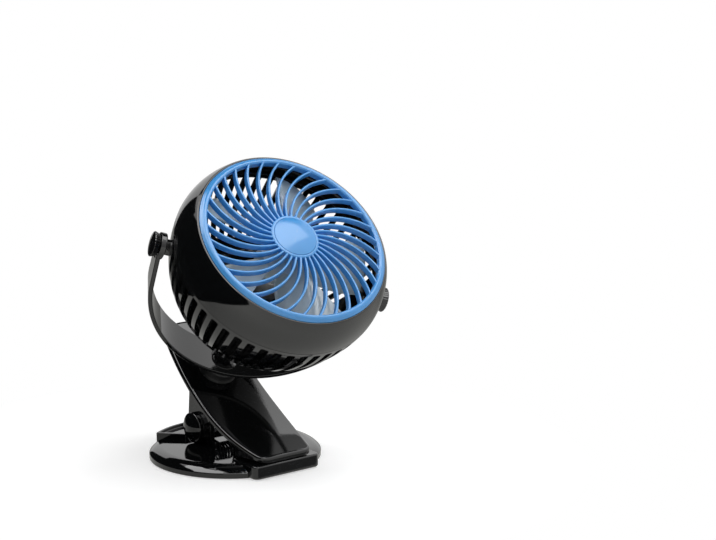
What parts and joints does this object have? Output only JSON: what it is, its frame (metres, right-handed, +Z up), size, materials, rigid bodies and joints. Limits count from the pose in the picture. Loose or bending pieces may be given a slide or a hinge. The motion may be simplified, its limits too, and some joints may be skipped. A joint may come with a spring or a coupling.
{
  "type": "clip fan",
  "caption": "Clip-on desk fan: round head with a curved-spoke grille and slotted bowl, tilting in a U yoke on a curved arm that closes as a spring clip on a round foot.",
  "frame": {"origin": "on the surface that the foot stands on, 61 mm behind the foot's straight front edge and midway across it", "axes": "+Z up, -Y towards the front of the foot and the clip's mouth, X along the clip's hinge"},
  "size_m": [0.1688, 0.1915, 0.2265],
  "materials": {
    "black_gloss": "polished moulded",
    "blue_gloss": "satin moulded",
    "pale_plastic": "milky moulded",
    "white_plastic": "moulded",
    "washer_plastic": "smooth",
    "black_rubber": "matte",
    "steel": "zinc plated",
    "bronze": "sintered",
    "magnet": "ground",
    "cell_wrap": "shrink wrap",
    "board": "solder mask"
  },
  "bodies": {
    "base": {"foot": "black_gloss", "foot_pad": "black_rubber", "lower_jaw_pad": "black_rubber", "hinge_pin": "steel", "hinge_cap_left": "black_gloss", "hinge_cap_right": "black_gloss", "clip_spring": "steel"},
    "arm": {"arm": "black_gloss", "arm_bracket": "black_gloss", "bracket_screws": "steel", "jaw_plate": "black_gloss", "upper_jaw_pad": "black_rubber", "swivel_washer": "washer_plastic"},
    "yoke": {"yoke": "black_gloss", "swivel_pin": "steel", "swivel_cap": "black_gloss", "tilt_washer_left": "washer_plastic", "tilt_washer_right": "washer_plastic"},
    "head": {"tilt_pin_left": "steel", "tilt_pin_right": "steel", "front_housing": "black_gloss", "rear_shell": "black_gloss", "front_grille": "blue_gloss", "grille_cap": "blue_gloss", "motor_can": "steel", "motor_end": "white_plastic", "front_bushing": "bronze", "rear_bushing": "bronze", "motor_magnets": "magnet", "pod": "black_gloss", "rear_cover": "black_gloss", "cover_screws": "steel", "battery_cell": "cell_wrap", "circuit_board": "board", "board_posts": "white_plastic", "charging_socket": "steel"},
    "impeller": {"impeller": "pale_plastic", "motor_shaft": "steel", "rotor": "steel"},
    "knob_left": {"tilt_knob_left": "black_gloss"},
    "knob_right": {"tilt_knob_right": "black_gloss"},
    "button": {"power_button": "black_gloss"}
  },
  "joints": [
    {"name": "jaw_hinge", "type": "hinge", "parent": "base", "child": "arm", "pos_m": [0, 0.024, 0.0215], "axis": [-1, 0, 0], "range_deg": [0, 30], "stiffness_Nm_per_rad": 0.9, "springref_deg": -59.99, "deforming": ["clip_spring"]},
    {"name": "yoke_swivel", "type": "hinge", "parent": "arm", "child": "yoke", "pos_m": [0, -0.0415, 0.1453], "axis": [0, -0.6428, 0.766], "continuous": true},
    {"name": "head_tilt", "type": "hinge", "parent": "yoke", "child": "head", "pos_m": [0, -0.0415, 0.1453], "axis": [0.8988, -0.3358, -0.2818], "continuous": true},
    {"name": "impeller_spin", "type": "hinge", "parent": "head", "child": "impeller", "pos_m": [0, -0.0415, 0.1453], "axis": [-0.0633, -0.7354, 0.6746], "continuous": true},
    {"name": "knob_left_turn", "type": "hinge", "parent": "head", "child": "knob_left", "pos_m": [-0.07864, -0.01212, 0.16996], "axis": [0.8988, -0.3358, -0.2818], "range_deg": [0, 360]},
    {"name": "knob_right_turn", "type": "hinge", "parent": "head", "child": "knob_right", "pos_m": [0.07864, -0.07088, 0.12064], "axis": [-0.8988, 0.3358, 0.2818], "range_deg": [0, 360]},
    {"name": "button_press", "type": "slide", "parent": "head", "child": "button", "axis": [-0.0633, -0.7354, 0.6746], "range_m": [0, 0.001], "stiffness_N_per_m": 400, "springref_m": -0.0005}
  ]
}
